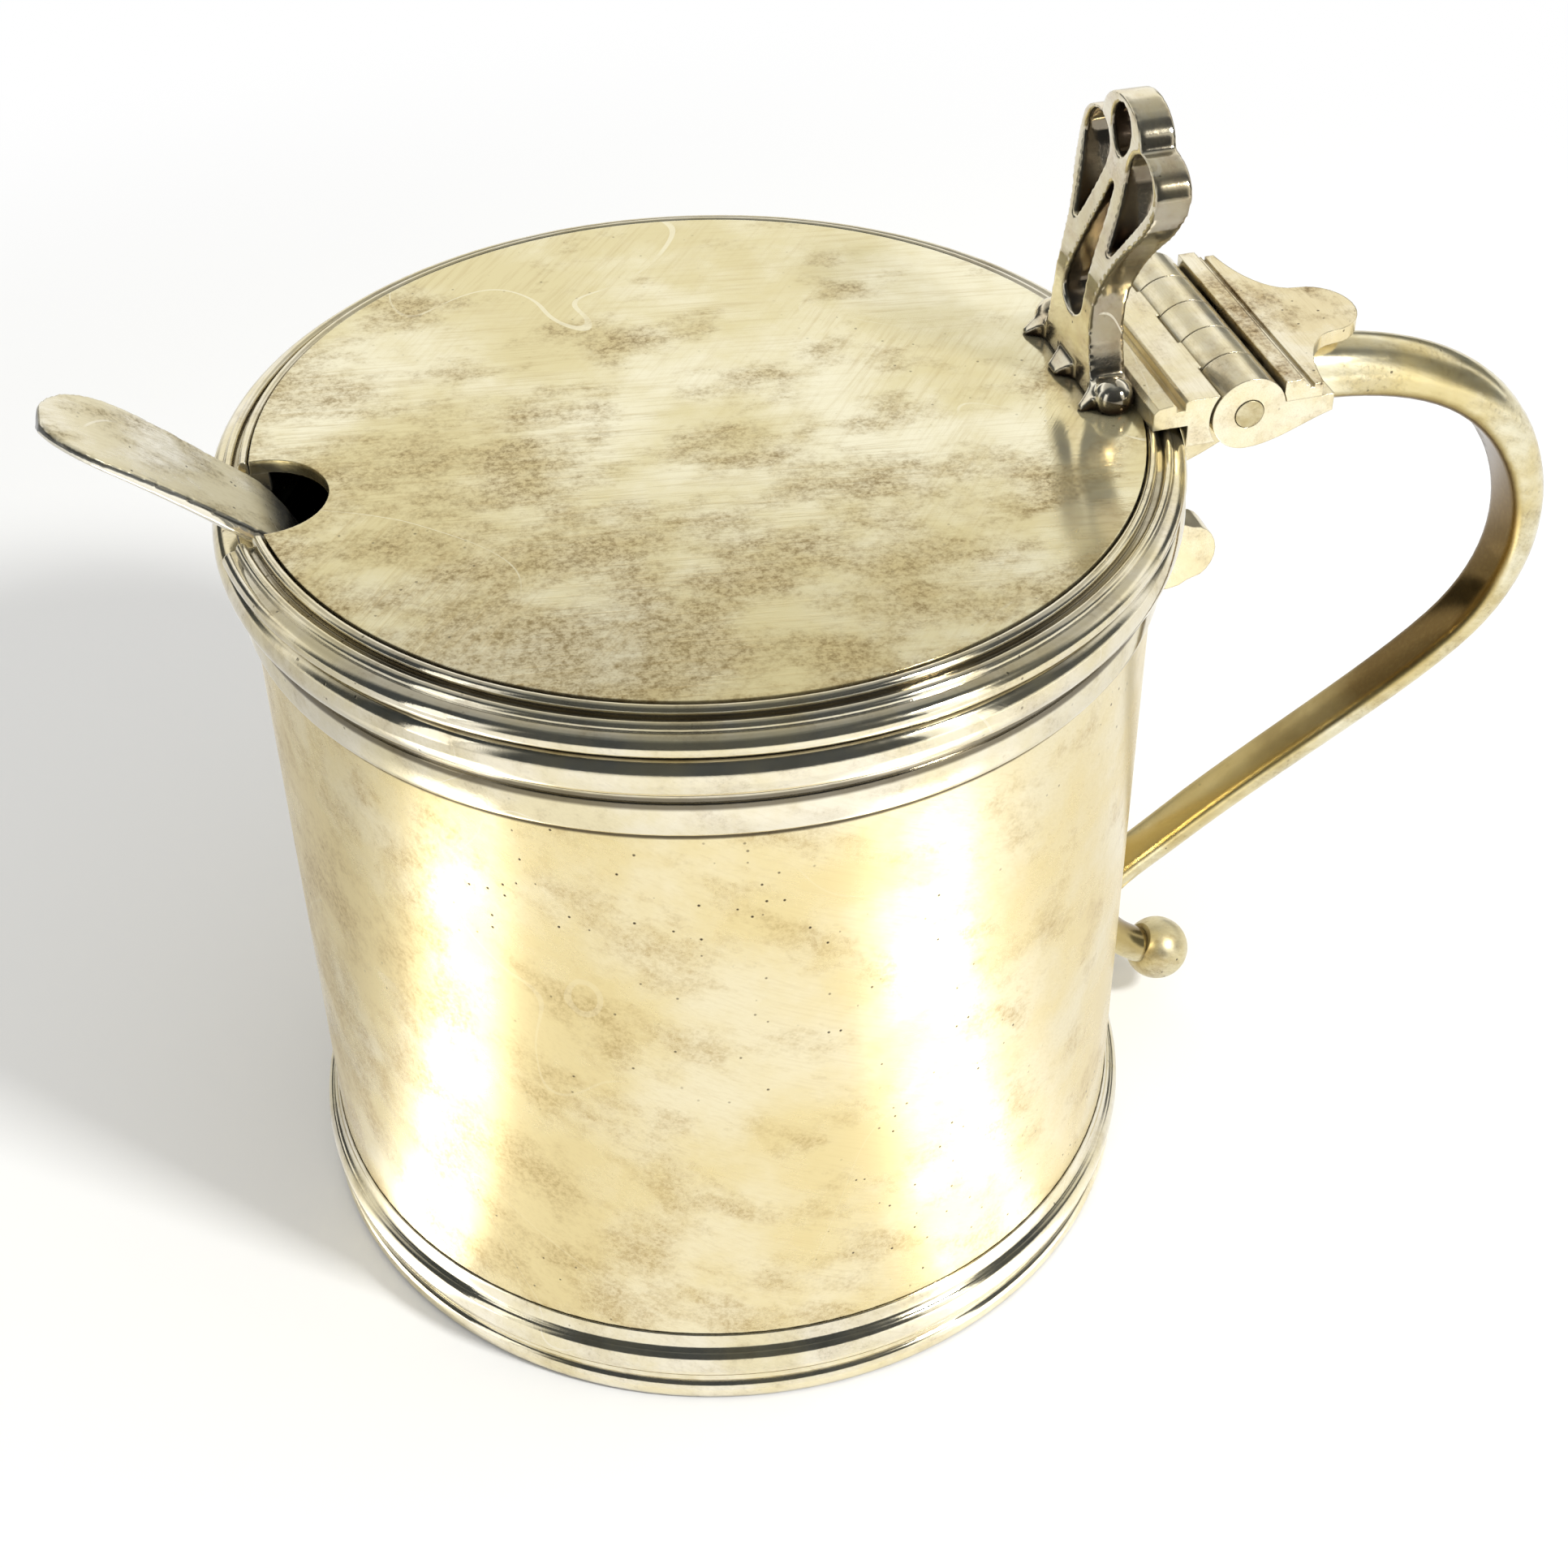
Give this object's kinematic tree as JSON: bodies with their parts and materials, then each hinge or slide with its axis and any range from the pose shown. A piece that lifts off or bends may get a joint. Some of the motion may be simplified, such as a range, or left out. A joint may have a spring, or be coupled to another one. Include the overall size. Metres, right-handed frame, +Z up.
{
  "type": "mustard pot",
  "caption": "Silver drum mustard pot with reeded mouldings, a flat hinged lid notched for its spoon, a pierced thumbpiece, a scroll handle and a glass liner.",
  "frame": {"origin": "centre of the foot's ring, on the plane that the pot stands on", "axes": "+Z up along the drum's axis, +X toward the hinge and the handle"},
  "size_m": [0.1022, 0.0618, 0.0784],
  "materials": {
    "tarnished_silver": "hand-polished, cream tarnish",
    "polished_silver": "bright polished",
    "toned_silver": "polished, brown toning",
    "spoon_silver": "worn, grey",
    "liner_glass": "smooth cobalt glass"
  },
  "bodies": {
    "pot": {"body_wall": "tarnished_silver", "base_plate": "tarnished_silver", "foot_rim": "polished_silver", "body_rim": "polished_silver", "glass_liner": "liner_glass", "hinge_bracket": "tarnished_silver", "shield_plate": "tarnished_silver", "pot_knuckle_near": "tarnished_silver", "pot_knuckle_mid": "tarnished_silver", "pot_knuckle_far": "tarnished_silver", "hinge_pin": "spoon_silver", "handle": "toned_silver", "handle_ball": "toned_silver", "handle_leaf": "tarnished_silver"},
    "lid": {"lid_plate": "tarnished_silver", "lid_rim": "polished_silver", "lid_leaf": "tarnished_silver", "lid_knuckle_near": "tarnished_silver", "lid_knuckle_far": "tarnished_silver", "thumbpiece": "polished_silver"},
    "spoon": {"spoon": "spoon_silver"}
  },
  "joints": [
    {"name": "lid_hinge", "type": "hinge", "parent": "pot", "child": "lid", "pos_m": [0.0338, 0, 0.06], "axis": [0, 1, 0], "range_deg": [0, 100]},
    {"name": "spoon_lift", "type": "slide", "parent": "pot", "child": "spoon", "axis": [-0.4695, 0, 0.8829], "range_m": [0, 0.025]}
  ]
}
